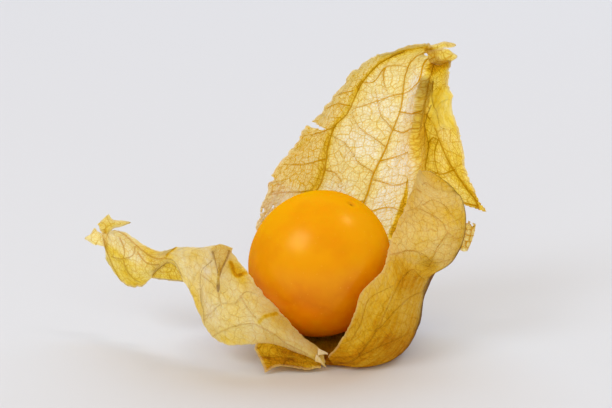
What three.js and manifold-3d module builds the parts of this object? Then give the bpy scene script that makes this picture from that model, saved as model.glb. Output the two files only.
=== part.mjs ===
// Cape gooseberry (physalis): a ripe round berry in its dry papery husk. The husk is torn open from its tip
// into a tall back hood, a curled right lobe and a long twisted left arm, which stay joined at its base.
// Millimetres, +Z up. The origin is on the table under the berry. +X runs along the longest side,
// and the husk opens towards -Y.
import * as THREE from 'three';
import Module from 'manifold-3d';

// Driving dimensions
const berryWidth = 17.6;
const berryLength = 18.6;
const berryCentreHeight = 10.6;
const huskThickness = 0.4;
const baseThickness = 0.5;
const receptacleHeight = 0.6; // swelling of the husk's base, on which the berry sits
const footRadius = 6; // of the five-sided flat foot, whose corners are the husk's five ribs
const footTurn = 0.2; // radians from +X to the foot's first corner
const footSides = 5;
const tearTipWidth = 0.3; // width left at the end of each torn point
const stalkDiameter = 1.6;

// The berry's axis runs from the stalk to the scar of the flower, and leans to the right and forward.
const berryAxis = new THREE.Vector3(0.42, -0.19, 0.89).normalize();
const berryRings = 20;
const berrySides = 32;

// Each lobe is a sheet through rows of points, from its base to its tip. All points are [x, y, z].
// The columns of the hood: left torn edge, left rib, middle rib, ridge, valley, right torn edge.
const hoodRows = [
  [[-6.5, 3.5, 2.5], [-5, 6.5, 1.8], [0, 8.5, 1.2], [5.5, 8.5, 1.4], [8.5, 7, 2.2], [11, 4.5, 3.5]],
  [[-6.5, 6, 6], [-4.5, 10, 4.5], [1.5, 12.5, 4.5], [8, 11.5, 5], [11, 9.5, 5.5], [13.5, 7, 6.5]],
  [[-7.5, 7.5, 11.5], [-4.5, 12, 9.5], [3, 14, 9], [10, 12, 9.5], [14, 11, 10], [19.5, 8.5, 11.5]],
  [[-7, 8, 15.5], [-2, 14, 14], [5.5, 15, 13], [11.5, 12.5, 14], [14.5, 13, 14], [19, 9.5, 15]],
  [[-5.5, 9, 19.5], [0.5, 14.5, 17.5], [7.5, 16, 17.5], [12, 12, 18.5], [14, 14, 18], [19, 10.5, 18.5]],
  [[-2, 9.5, 24.5], [2, 14.5, 23], [9, 16, 22.5], [12, 12.5, 23], [14, 15, 22.5], [18, 11, 23]],
  [[2, 10.5, 29.5], [4, 13.5, 27.5], [10.5, 15, 27], [12.5, 12, 27.5], [14, 14.5, 26.5], [17, 10.5, 28]],
  [[6, 11, 34], [7, 12.5, 32], [11, 13.5, 31.5], [13, 11.5, 31.5], [14.5, 13, 30.5], [16.5, 10.5, 31.5]],
  [[9.5, 10.5, 35.5], [10, 11.5, 34.5], [12, 12, 34], [13.5, 11, 33.5], [15, 11.5, 33], [16.5, 10, 33.5]],
  [[13.5, 9.5, 36.5], [14, 10.5, 36], [14.5, 10.5, 35.5], [15, 10, 35], [15.5, 10, 34.5], [16.5, 9.5, 34.5]],
];

// The columns of the right lobe: bright torn edge, front, side, rib at the far side, edge turned to the back.
const rightLobeRows = [
  [[1, -9, 1.5], [1.5, -9.5, 1], [3, -9.5, 0.6], [3.5, -8.5, 0.5], [4, -4, 0.5]],
  [[2.5, -9, 3.5], [4, -10.5, 2], [5.5, -9.5, 0.8], [7, -6.5, 0.5], [8, -1, 0.8]],
  [[4, -9, 6.5], [6, -10.5, 5], [8.5, -9, 3.5], [10, -4.5, 3], [10.5, 3, 2.2]],
  [[5, -8.5, 9.5], [7.5, -10, 8.5], [10.5, -8, 7.5], [12.5, -3, 6.5], [13, 6.5, 5.5]],
  [[7.5, -7.5, 12], [9.5, -7.5, 11], [11.5, -5.5, 10], [13.5, -2, 9.5], [15, 7, 8]],
  [[8.5, -4.5, 14], [11, -4.5, 13], [13.5, -4, 12], [16, -2, 11.5], [16.5, 4, 11]],
  [[9.5, -2.5, 16], [12, -4, 16], [15.5, -4.5, 16], [17.5, -2, 15], [17.5, 1.5, 14.5]],
  [[11, 2, 18], [12.5, -1, 18.5], [15, -1.5, 18.5], [17.5, 1, 18], [17, 4, 17]],
  [[11.5, 6.5, 19.5], [12.5, 4.5, 20], [14, 4.5, 19.5], [16, 6.5, 19], [15.5, 7.5, 18.5]],
  [[12.5, 9.5, 20], [12.8, 9, 20], [13.2, 9, 20], [13.6, 9.5, 19.8], [13.8, 10, 19.6]],
];

// The columns of the left arm: upper edge, middle, lower middle, lower edge. It twists over at its neck.
const leftArmRows = [
  [[0.5, -8.5, 2], [0.5, -9.5, 1.5], [0.5, -10, 1.2], [0.5, -10, 0.6]],
  [[-2.5, -8, 4.5], [-3, -9.5, 4], [-3.5, -10, 3.5], [-4, -9.5, 2.5]],
  [[-6.5, -7, 8.5], [-7.5, -9.5, 7.5], [-8, -10, 5.5], [-9, -9, 3]],
  [[-9.5, -5, 12], [-10, -8, 9.5], [-11, -9.5, 6.5], [-12, -8, 3]],
  [[-12, -3.5, 14], [-12.5, -6.5, 11.5], [-13.5, -7.5, 8.5], [-14.5, -5.5, 4.5]],
  [[-14.5, -2, 13.5], [-14.5, -4.5, 12.5], [-15, -5, 10.5], [-16, -3, 7.5]],
  [[-17.5, 1, 12.5], [-17.5, -1.5, 12.5], [-17.5, -2, 11], [-18, 0, 9]],
  [[-20.5, 3, 11.5], [-20.5, 1, 11], [-20.5, 0.5, 10], [-21, 2, 8]],
  [[-23.5, 5, 12.5], [-23, 3, 11], [-23, 2, 9], [-23, 3.5, 6.5]],
  [[-25.5, 6.5, 13], [-25, 4.5, 11.5], [-25, 4, 9.5], [-25, 5, 7]],
  [[-27, 7.5, 13], [-27, 6.5, 12], [-27, 6, 11], [-26.5, 6, 9.5]],
];

// The fold under the arm, from the base of the husk up to the arm's lower edge and down to the table.
const underfoldRows = [
  [[-6.5, -3.5, 1.8], [-7.8, -8.5, 3], [-7.4, -10, 1.8], [-6.8, -11.2, 0.3]],
  [[-5, -5, 1.2], [-5.5, -9, 3], [-5.5, -10, 1.8], [-5, -10.4, 0.7]],
  [[-2.5, -6, 0.8], [-3, -9.5, 2], [-2.5, -10, 1.5], [-2, -10.5, 0.4]],
  [[0.5, -7, 0.5], [0, -9, 1.5], [0, -9.5, 1], [0, -10, 0.4]],
];

// The corner of the arm that is folded over at its top.
const foldedCornerRows = [
  [[-13.5, -2.6, 14], [-12, -3.5, 14.5], [-10.5, -4.2, 13.5]],
  [[-13.2, -6, 12.5], [-12, -7.2, 12.5], [-11, -7.2, 12]],
  [[-13.1, -7, 11], [-12.5, -8.2, 11], [-12, -8.2, 10.5]],
  [[-12.9, -7.4, 9.8], [-12.6, -7.8, 9.8], [-12.3, -7.8, 9.8]],
];

// The torn points: the two ends of each root, and the tip.
const tornPoints = [
  { root: [[13, 10, 36.2], [15.2, 10.2, 35.2]], tip: [17, 9, 36.5] },
  { root: [[15, 10.2, 35.6], [16.3, 9.7, 33.8]], tip: [17.2, 9, 35] },
  { root: [[18.2, 10.6, 20.5], [18.5, 9.6, 15]], tip: [21, 8.5, 14.5] },
  { root: [[-27, 7.4, 13], [-25.6, 6.2, 12.6]], tip: [-24, 8, 13.6] },
  { root: [[-26.8, 7, 12.6], [-26.8, 6.3, 10.6]], tip: [-29.5, 8.5, 11.5] },
];

// The rim of the husk's base, once around from the right through the back.
const baseRim = [
  [12.2, 2, 3.2], [9.5, 7, 2.6], [3, 9.4, 1.6], [-3.5, 8.2, 2], [-7.2, 3, 3],
  [-7.2, -3, 2.2], [-4, -7, 1], [1, -8.5, 0.3], [6, -8, 0.3], [10, -4, 1.2],
];
const baseCentre = new THREE.Vector2(1, 0);
const footRings = 3;
const slopeRings = 4;
const baseSides = 40;

// The dry stalk lies on the table, from the husk's base to its broken end.
const stalkPath = [[-6.2, 2.6, 1.05], [-7.6, 3.8, 0.85], [-9.2, 5.6, 0.85], [-10.2, 8, 0.9]];
const stalkSides = 10;
const stalkSteps = 8;

// How finely each lobe is divided: steps across its columns and along its rows.
const lobes = [
  { rows: hoodRows, across: 20, along: 30 },
  { rows: rightLobeRows, across: 14, along: 24 },
  { rows: leftArmRows, across: 10, along: 30 },
  { rows: underfoldRows, across: 9, along: 8 },
  { rows: foldedCornerRows, across: 4, along: 6 },
];
const berryColour = 0xee9901;
const huskColour = 0xe3ca84;
const stalkColour = 0x8a6a3c;

const wasm = await Module();
wasm.setup();

function toVector(point) {
  return new THREE.Vector3(...point);
}

// A smooth curve through points, sampled at steps + 1 even places.
function smoothLine(points, steps, closed = false) {
  return new THREE.CatmullRomCurve3(points, closed, 'catmullrom', 0.5).getPoints(steps);
}

// A grid of points on the smooth surface through rows of control points.
function smoothGrid(rows, stepsAcross, stepsAlong) {
  const across = rows.map((row) => smoothLine(row.map(toVector), stepsAcross));
  const columns = across[0].map((_, i) => smoothLine(across.map((row) => row[i]), stepsAlong));
  return columns[0].map((_, j) => columns.map((column) => column[j]));
}

// The surface normal at one grid point, from its neighbours along and across.
function gridNormal(grid, j, i) {
  const lastRow = grid.length - 1;
  const lastColumn = grid[0].length - 1;
  const across = new THREE.Vector3().subVectors(
    grid[j][Math.min(i + 1, lastColumn)],
    grid[j][Math.max(i - 1, 0)],
  );
  const along = new THREE.Vector3().subVectors(
    grid[Math.min(j + 1, lastRow)][i],
    grid[Math.max(j - 1, 0)][i],
  );
  return across.cross(along).normalize();
}

// The solid between two grids of points that share one outline, with a wall around their edge.
function solidBetween(front, back) {
  const width = front[0].length;
  const height = front.length;
  const points = [...front.flat(), ...back.flat()];
  const offset = width * height;
  const triangles = [];
  const quad = (a, b, c, d) => triangles.push(a, b, c, a, c, d);
  for (let j = 0; j + 1 < height; j += 1) {
    for (let i = 0; i + 1 < width; i += 1) {
      const corner = j * width + i;
      quad(corner, corner + 1, corner + width + 1, corner + width);
      quad(
        offset + corner,
        offset + corner + width,
        offset + corner + width + 1,
        offset + corner + 1,
      );
    }
  }
  for (const [start, step, count, flip] of [
    [0, 1, width - 1, false],
    [(height - 1) * width, 1, width - 1, true],
    [0, width, height - 1, true],
    [width - 1, width, height - 1, false],
  ]) {
    for (let k = 0; k < count; k += 1) {
      const a = start + k * step;
      const b = a + step;
      if (flip) {
        quad(a, b, offset + b, offset + a);
      } else {
        quad(b, a, offset + a, offset + b);
      }
    }
  }
  return manifoldOf(points, triangles);
}

function manifoldOf(points, triangles) {
  const vertProperties = new Float32Array(points.flatMap((point) => point.toArray()));
  const triVerts = new Uint32Array(triangles);
  return new wasm.Manifold(new wasm.Mesh({ numProp: 3, vertProperties, triVerts }));
}

// A lobe of the husk: the sheet through its rows, kept above the table.
function sheet({ rows, across, along }) {
  const half = huskThickness / 2;
  const middle = smoothGrid(rows, across, along);
  middle.flat().forEach((point) => {
    point.z = Math.max(point.z, half);
  });
  const shifted = (distance) => middle.map((row, j) => row.map((point, i) => (
    point.clone().addScaledVector(gridNormal(middle, j, i), distance)
  )));
  return solidBetween(shifted(half), shifted(-half));
}

// A torn point: a narrow sheet from its root to its tip.
function tornPoint({ root, tip }) {
  const end = toVector(tip);
  const side = toVector(root[1]).sub(toVector(root[0])).setLength(tearTipWidth / 2);
  const tipRow = [end.clone().sub(side).toArray(), end.clone().add(side).toArray()];
  return sheet({ rows: [root, tipRow], across: 1, along: 2 });
}

// The corners of the husk's flat foot.
function footCorners() {
  return Array.from({ length: footSides }, (_, k) => {
    const angle = footTurn + (2 * Math.PI * k) / footSides;
    return new THREE.Vector2(footRadius * Math.cos(angle), footRadius * Math.sin(angle)).add(baseCentre);
  });
}

// The base of the husk: a flat foot with sides sloping up to the rim, and the receptacle's swelling inside.
// Below, the foot is one flat face between its corners.
function huskBase() {
  const rim = smoothLine(baseRim.map(toVector), baseSides, true).slice(0, baseSides);
  const corners = footCorners();
  const baseRings = footRings + slopeRings;
  const sidesPerCorner = baseSides / footSides;
  const middle = new THREE.Vector3(baseCentre.x, baseCentre.y, baseThickness + receptacleHeight);
  const above = [];
  const below = [];
  for (let ring = 1; ring <= baseRings; ring += 1) {
    const swelling = receptacleHeight * (1 - (ring / baseRings) ** 2) ** 2;
    const rise = Math.max(ring - footRings, 0) / slopeRings;
    rim.forEach((edge, k) => {
      const corner = Math.floor(k / sidesPerCorner);
      const foot = corners[corner].clone().lerp(corners[(corner + 1) % footSides], (k / sidesPerCorner) % 1);
      const place = baseCentre.clone().lerp(foot, Math.min(ring / footRings, 1)).lerp(edge, rise);
      above.push(new THREE.Vector3(place.x, place.y, edge.z * rise + baseThickness + swelling));
      if (rise > 0) {
        below.push(new THREE.Vector3(place.x, place.y, edge.z * rise));
      }
    });
  }
  const cornerPoints = corners.map((corner) => new THREE.Vector3(corner.x, corner.y, 0));
  const points = [middle, ...above, ...cornerPoints, ...below];
  const top = (ring, k) => 1 + (ring - 1) * baseSides + (k % baseSides);
  const foot = (k) => 1 + above.length + (k % footSides);
  const under = (ring, k) => 1 + above.length + footSides + (ring - 1) * baseSides + (k % baseSides);
  const triangles = [];
  for (let k = 0; k < baseSides; k += 1) {
    triangles.push(0, top(1, k), top(1, k + 1));
    for (let ring = 1; ring < baseRings; ring += 1) {
      triangles.push(top(ring, k), top(ring + 1, k + 1), top(ring, k + 1));
      triangles.push(top(ring, k), top(ring + 1, k), top(ring + 1, k + 1));
    }
    for (let ring = 1; ring < slopeRings; ring += 1) {
      triangles.push(under(ring, k), under(ring, k + 1), under(ring + 1, k + 1));
      triangles.push(under(ring, k), under(ring + 1, k + 1), under(ring + 1, k));
    }
    triangles.push(under(slopeRings, k), under(slopeRings, k + 1), top(baseRings, k + 1));
    triangles.push(under(slopeRings, k), top(baseRings, k + 1), top(baseRings, k));
    triangles.push(foot(Math.floor(k / sidesPerCorner + 0.5)), under(1, k + 1), under(1, k));
  }
  for (let corner = 0; corner < footSides; corner += 1) {
    triangles.push(foot(corner), foot(corner + 1), under(1, (corner + 0.5) * sidesPerCorner));
  }
  for (let corner = 1; corner + 1 < footSides; corner += 1) {
    triangles.push(foot(0), foot(corner + 1), foot(corner));
  }
  return manifoldOf(points, triangles);
}

// The whole husk, which grew as one piece: its base and lobes joined into one solid.
function huskGeometry() {
  const parts = [huskBase(), ...lobes.map(sheet), ...tornPoints.map(tornPoint)];
  const mesh = parts.reduce((joined, part) => joined.add(part)).getMesh();
  const geometry = new THREE.BufferGeometry();
  geometry.setAttribute('position', new THREE.BufferAttribute(mesh.vertProperties, mesh.numProp));
  geometry.setIndex(new THREE.BufferAttribute(mesh.triVerts, 1));
  geometry.computeVertexNormals();
  return geometry;
}

function berryGeometry() {
  const profile = Array.from({ length: berryRings + 1 }, (_, k) => {
    const angle = Math.PI * (k / berryRings - 0.5);
    const radius = k % berryRings === 0 ? 0 : (berryWidth / 2) * Math.cos(angle);
    return new THREE.Vector2(radius, (berryLength / 2) * Math.sin(angle));
  });
  return new THREE.LatheGeometry(profile, berrySides);
}

function stalkGeometry() {
  const section = new THREE.Shape();
  for (let k = 0; k < stalkSides; k += 1) {
    const angle = (2 * Math.PI * k) / stalkSides;
    const x = (stalkDiameter / 2) * Math.cos(angle);
    const y = (stalkDiameter / 2) * Math.sin(angle);
    if (k === 0) {
      section.moveTo(x, y);
    } else {
      section.lineTo(x, y);
    }
  }
  const path = new THREE.CatmullRomCurve3(stalkPath.map(toVector));
  return new THREE.ExtrudeGeometry(section, { steps: stalkSteps, extrudePath: path, curveSegments: 1 });
}

function namedMesh(name, geometry, colour, roughness) {
  const material = new THREE.MeshStandardMaterial({ color: colour, roughness, metalness: 0 });
  const mesh = new THREE.Mesh(geometry, material);
  mesh.name = name;
  return mesh;
}

const berry = namedMesh('berry', berryGeometry(), berryColour, 0.35);
berry.quaternion.setFromUnitVectors(new THREE.Vector3(0, 1, 0), berryAxis);
berry.position.set(0, 0, berryCentreHeight);

const physalis = new THREE.Group();
physalis.add(berry);
physalis.add(namedMesh('husk', huskGeometry(), huskColour, 0.8));
physalis.add(namedMesh('stalk', stalkGeometry(), stalkColour, 0.85));

export default physalis;
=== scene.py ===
# Cape gooseberry (physalis): a ripe berry in its dry papery husk, torn open into a hood, a lobe and an arm.
# Shapes are in millimetres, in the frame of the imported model, and become metres as meshes are built.
import math
import bpy
import numpy as np
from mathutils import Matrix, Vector


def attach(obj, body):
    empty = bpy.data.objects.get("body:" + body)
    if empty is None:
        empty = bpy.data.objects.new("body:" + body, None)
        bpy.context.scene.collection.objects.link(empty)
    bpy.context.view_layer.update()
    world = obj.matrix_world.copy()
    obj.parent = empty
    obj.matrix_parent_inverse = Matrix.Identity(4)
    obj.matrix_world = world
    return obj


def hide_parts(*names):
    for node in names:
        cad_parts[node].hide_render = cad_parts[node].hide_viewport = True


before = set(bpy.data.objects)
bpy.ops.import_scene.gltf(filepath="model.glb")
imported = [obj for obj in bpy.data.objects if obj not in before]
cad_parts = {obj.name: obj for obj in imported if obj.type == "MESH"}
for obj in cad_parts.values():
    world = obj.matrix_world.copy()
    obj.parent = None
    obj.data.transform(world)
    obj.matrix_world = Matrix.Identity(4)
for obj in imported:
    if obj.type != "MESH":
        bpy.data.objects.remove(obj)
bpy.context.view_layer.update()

MM = 0.001
LATTICE = 64  # corners along each side of the lattice that random heights and cells are drawn on

# Sizes, in millimetres
PAPER_HALF = 0.07  # half the husk's thickness between veins
# Half of each kind of line's width, and the share of it that is lost by the line's end
LINE_WIDTHS = {"rib": 0.17, "side_vein": 0.1, "crease": 0.1, "shade_line": 0.09, "ridge": 0.0}
LINE_TAPERS = {"rib": 0.5, "side_vein": 0.4, "crease": 0.5, "shade_line": 0.3, "ridge": 0.0}
LINE_REACH = 2.0  # further off than this, no line is felt
# The scraps' thin lines of painted shade are drawn wider.
SCRAP_WIDTHS = {"shade_line": 0.14}
# How much a vein thickens the paper on each side, how far inside its edge that starts, and its spread
VEIN_SWELLS = {"rib": (0.12, 0.2, 0.05), "side_vein": (0.06, 0.1, 0.02)}
PILLOW_HEIGHT = 0.16  # of the paper between its veins
PILLOW_REACH = 0.8
GROOVE_DEPTH = 0.35  # of a crease
GROOVE_REACH = 0.35
FOLD_HEIGHT = 0.35  # of a ridge
FOLD_REACH = 0.6
LACE_CELL = 0.75  # size of the cells that come out of the paper
LACE_VEIN = 0.1  # half the width of what is left between them
LACE_EDGE = 0.04  # half the width of the vein that is drawn round each of those cells
WHOLE_EDGE = 5.0  # added to the distance from an edge that isn't torn
PATTERN_STEP = 20.0  # how far apart on the pattern two pieces start, so that no two are alike
BERRY_WIDTH = 17.6
BERRY_LENGTH = 18.6
BERRY_CENTRE = np.array([0.0, 0.0, 10.6])
BERRY_AXIS = np.array([0.42, -0.19, 0.89]) / np.linalg.norm([0.42, -0.19, 0.89])
BASE_THICKNESS = 0.5
RECEPTACLE_HEIGHT = 0.6
FOOT_RADIUS = 6.0
FOOT_TURN = 0.2
FOOT_SIDES = 5
STALK_RADIUS = 0.8

# The lobes' control points, row by row from the base to the tip: the solids' own, shaped a little closer at
# the hood's right spike, the lobe's foot and tip, and the arm's neck.
HOOD_ROWS = [
    [[-6.5, 3.5, 2.5], [-5, 6.5, 1.8], [0, 8.5, 1.2], [5.5, 8.5, 1.4], [8.5, 7, 2.2], [11, 4.5, 3.5]],
    [[-6.5, 6, 6], [-4.5, 10, 4.5], [1.5, 12.5, 4.5], [8, 11.5, 5], [11, 9.5, 5.5], [13.5, 7, 6.5]],
    [[-7.8, 7.4, 11.5], [-4.5, 12, 9.5], [3, 14, 9], [10, 12, 9.5], [14, 11, 10], [18, 8, 11.5]],
    [[-7.3, 7.9, 15.5], [-2, 14, 14], [5.5, 15, 13], [11.5, 12.5, 14], [14.5, 13, 14], [21.3, 8.6, 14.6]],
    [[-5.9, 8.9, 19.6], [0.5, 14.5, 17.5], [7.5, 16, 17.5], [12, 12, 18.5], [14, 14, 18], [19, 10.5, 18.5]],
    [[-2.4, 9.4, 24.6], [2, 14.5, 23], [9, 16, 22.5], [12, 12.5, 23], [14, 15, 22.5], [18, 11, 23]],
    [[1.7, 10.4, 29.6], [4, 13.5, 27.5], [10.5, 15, 27], [12.5, 12, 27.5], [14, 14.5, 26.5], [17, 10.5, 28]],
    [[6, 11, 34], [7, 12.5, 32], [11, 13.5, 31.5], [13, 11.5, 31.5], [14.5, 13, 30.5], [16.5, 10.5, 31.5]],
    [[9.5, 10.5, 35.5], [10, 11.5, 34.5], [12, 12, 34], [13.5, 11, 33.5], [15, 11.5, 33], [16.5, 10, 33.5]],
    [[13.5, 9.5, 36.5], [14, 10.5, 36], [14.5, 10.5, 35.5], [15, 10, 35], [15.5, 10, 34.5],
     [16.5, 9.5, 34.5]],
]
RIGHT_LOBE_ROWS = [
    [[1, -9, 1.5], [1.5, -9.5, 1], [3.1, -9.5, 0.6], [4.8, -8.4, 0.5], [5.5, -4, 0.5]],
    [[2.5, -9, 3.5], [4, -10.5, 2], [5.9, -9.5, 0.8], [8.9, -7, 0.8], [9.6, -2, 1]],
    [[4, -9, 6.5], [6, -10.5, 5], [8.9, -9, 3.4], [11.6, -5, 3.1], [11.8, 2.5, 2.4]],
    [[5, -8.5, 9.5], [7.5, -10, 8.5], [10.5, -8, 7.5], [12.5, -3, 6.5], [13, 6.5, 5.5]],
    [[7.5, -7.5, 12], [9.5, -7.5, 11], [11.5, -5.5, 10], [13.5, -2, 9.5], [15, 7, 8]],
    [[8.5, -4.5, 14], [11, -4.5, 13], [13.5, -4, 12], [16, -2, 11.5], [16.5, 4, 11]],
    [[9.5, -2.5, 16], [12, -4, 16], [15.5, -4.5, 16], [17.5, -2, 15], [17.5, 1.5, 14.5]],
    [[11, 2.6, 17.9], [12.5, 0, 18.2], [15, -0.5, 18.2], [17.5, 1.6, 17.9], [17, 4, 17]],
    [[12, 6.2, 19.5], [12.8, 4.8, 19.6], [14.2, 4.6, 19.2], [16, 6.2, 18.9], [15.6, 7.4, 18.5]],
    [[12.6, 8.6, 20.3], [12.9, 8.1, 20.2], [13.3, 8.1, 20.2], [13.7, 8.6, 20], [13.9, 9.2, 19.8]],
]
LEFT_ARM_ROWS = [
    [[0.5, -8.5, 2], [0.5, -9.5, 1.5], [0.5, -10, 1.2], [0.5, -10, 0.6]],
    [[-2.5, -8, 4.5], [-3, -9.5, 4], [-3.5, -10, 3.5], [-4, -9.5, 2.5]],
    [[-6.5, -7, 8.5], [-7.5, -9.5, 7.5], [-8, -10, 5.5], [-9, -9, 3]],
    [[-9.5, -5, 12], [-10, -8, 9.5], [-11, -9.5, 6.5], [-12, -8, 3]],
    [[-12, -3.5, 14], [-12.5, -6.5, 11.5], [-13.5, -7.5, 8.5], [-14.5, -5.5, 4.5]],
    [[-14.5, -2, 13.5], [-14.5, -4.5, 12.5], [-15, -5, 10.5], [-16, -3, 7.5]],
    [[-17.9, 1, 12.5], [-18, -1, 12.3], [-18.1, -1.2, 11.6], [-18.4, 0.2, 10.5]],
    [[-20.5, 3, 11.5], [-20.5, 1, 11], [-20.5, 0.5, 10], [-21, 2, 8]],
    [[-23.5, 5, 12.5], [-23, 3, 11], [-23, 2, 9], [-22.6, 3.4, 6.4]],
    [[-25.5, 6.5, 13], [-25, 4.5, 11.5], [-25, 4, 9.5], [-25, 5, 6.5]],
    [[-27.3, 7.5, 12.9], [-27.4, 6.5, 12], [-27.3, 6, 11], [-27, 6, 9]],
]
UNDERFOLD_ROWS = [
    [[-6.5, -3.5, 1.8], [-7.8, -8.5, 3], [-7.4, -10, 1.8], [-6.8, -11.2, 0.3]],
    [[-5, -5, 1.2], [-5.5, -9, 3], [-5.5, -10, 1.8], [-5, -10.4, 0.7]],
    [[-2.5, -6, 0.8], [-3, -9.5, 2], [-2.5, -10, 1.5], [-2, -10.5, 0.4]],
    [[0.5, -7, 0.5], [0, -9, 1.5], [0, -9.5, 1], [0, -10, 0.4]],
]
# Small folded, curled and frayed bits of paper: each one's tone, net, painted olive shade and rows
SCRAPS = {
    "folded_corner": (0.33, 0.8, 0.2, [
        [[-13.6, -3.4, 13.5], [-12.3, -3.9, 14.4], [-10.7, -3.6, 13.8]],
        [[-13.1, -6.2, 13.4], [-12.2, -7, 13.7], [-11.1, -6.2, 13.2]],
        [[-12.7, -7.6, 12.1], [-12.3, -8.2, 12.3], [-11.8, -7.6, 12.1]],
        [[-12.5, -8.2, 10.7], [-12.4, -8.5, 10.8], [-12.2, -8.2, 10.7]],
        [[-12.45, -8.4, 9.6], [-12.4, -8.4, 9.6], [-12.35, -8.4, 9.6]],
    ]),
    "neck_fold": (0.42, 1.1, 0.25, [
        [[-20.8, 1.5, 9.5], [-20.9, 1.9, 8.8], [-21, 2.4, 8.1]],
        [[-19.9, 0.8, 10.7], [-19.7, 1.4, 9.3], [-19.6, 2, 8]],
        [[-18.6, 0.6, 11], [-18.4, 1, 9.3], [-18.4, 1.6, 8]],
        [[-17.6, -0.2, 10.7], [-17.3, 0.4, 9.2], [-17, 1, 8.1]],
        [[-16.8, -1, 10.1], [-16.5, -0.4, 9.1], [-16.2, 0.2, 8.3]],
    ]),
    "tip_curl": (0.44, 0.8, 0.2, [
        [[12.8, 10.9, 35.8], [13.2, 11.2, 35.3], [13.6, 11.2, 34.7]],
        [[14.3, 10.4, 36.2], [14.6, 10.6, 35.7], [14.8, 10.7, 35.2]],
        [[15.4, 9.8, 36.7], [15.5, 9.9, 36.3], [15.6, 10, 35.9]],
        [[16.2, 9.5, 36.5], [16.2, 9.4, 36.3], [16.2, 9.5, 36]],
        [[17, 9.2, 36.35], [17, 9.2, 36.3], [17, 9.2, 36.2]],
    ]),
    "tip_leaf": (0.4, 1.0, 0.15, [
        [[13.7, 10.9, 35.1], [13.7, 10.6, 34.2], [14, 11.4, 33.5]],
        [[14.8, 10.2, 35.5], [14.8, 9.9, 34.5], [15.1, 11.2, 33.4]],
        [[15.9, 9.7, 35.7], [16, 9.4, 34.8], [16, 10.6, 33.6]],
        [[16.6, 9.4, 35.3], [16.6, 9.3, 34.8], [16.6, 9.5, 34.2]],
        [[17.2, 9.1, 35], [17.2, 9.1, 34.9], [17.2, 9.1, 34.7]],
    ]),
    "right_lace": (0.34, 1.0, 0.0, [
        [[15.9, 12.2, 13.4], [15.6, 11.5, 11.9], [15, 10.8, 10.3]],
        [[17.2, 8.8, 13.8], [17.2, 8.4, 12.2], [17.1, 7.8, 10.4]],
        [[18.4, 8, 13.8], [18.5, 7.5, 12], [18.2, 7, 10.1]],
        [[19.7, 8.5, 13.2], [19.4, 8, 11.9], [18.7, 7.5, 10.3]],
    ]),
    "wing_curl": (0.42, 0.8, 0.15, [
        [[-28.1, 7.6, 13.5], [-28.1, 7.7, 13.6], [-28, 7.8, 13.7]],
        [[-27.6, 6.9, 12.6], [-27.4, 7.4, 13.7], [-27.3, 7.8, 14.3]],
        [[-27, 6.6, 12.2], [-26.8, 7.3, 13.7], [-26.7, 7.9, 14.7]],
        [[-26.1, 6.9, 13.1], [-26.1, 7.2, 13.7], [-26.2, 7.6, 14.2]],
        [[-25.2, 6.9, 13.3], [-25.2, 7, 13.7], [-25.2, 7.2, 14.1]],
        [[-24, 6.8, 13.8], [-23.9, 6.8, 13.9], [-24, 6.9, 14]],
    ]),
    "wing_leaf": (0.3, 1.0, 0.0, [
        [[-26.6, 6, 10.7], [-26.6, 6, 11.7], [-26.8, 6.4, 12.5]],
        [[-28, 7.2, 11], [-27.8, 7, 11.8], [-28, 7.2, 12.6]],
        [[-28.4, 7.4, 10.9], [-28.4, 7.1, 11.9], [-28.4, 7.6, 12.9]],
        [[-29, 7.6, 11.2], [-28.9, 7.5, 11.7], [-28.9, 7.7, 12.1]],
        [[-29.7, 8, 11.4], [-29.7, 8, 11.5], [-29.7, 8, 11.6]],
    ]),
    "frayed_end": (0.05, 0.4, 0.0, [
        [[-0.3, -9.6, 2.8], [-0.3, -9.9, 2.5], [-0.3, -10.1, 2.1]],
        [[0.3, -9.9, 2.6], [0.3, -10, 2.4], [0.3, -10.1, 2.2]],
        [[0.9, -10, 2.4], [0.9, -10, 2.3], [0.9, -10, 2.2]],
    ]),
    "frayed_strand": (0.1, 0.4, 0.0, [
        [[-0.5, -10.2, 2.3], [-0.6, -10.3, 1.9], [-0.6, -10.3, 1.5]],
        [[0.1, -10.4, 1.8], [0.1, -10.4, 1.5], [0, -10.4, 1.3]],
        [[0.6, -10.5, 1], [0.7, -10.5, 0.9], [0.6, -10.5, 0.8]],
    ]),
}
BASE_RIM = [
    [12.2, 2, 3.2], [9.5, 7, 2.6], [3, 9.4, 1.6], [-3.5, 8.2, 2], [-7.2, 3, 3],
    [-7.2, -3, 2.2], [-4, -7, 1], [1, -8.5, 0.3], [6, -8, 0.3], [10, -4, 1.2],
]
BASE_CENTRE = [1, 0]
STALK_PATH = [[-6.2, 2.6, 1.05], [-7.6, 3.8, 0.85], [-9.2, 5.6, 0.85], [-10.2, 8, 0.9]]
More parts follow.
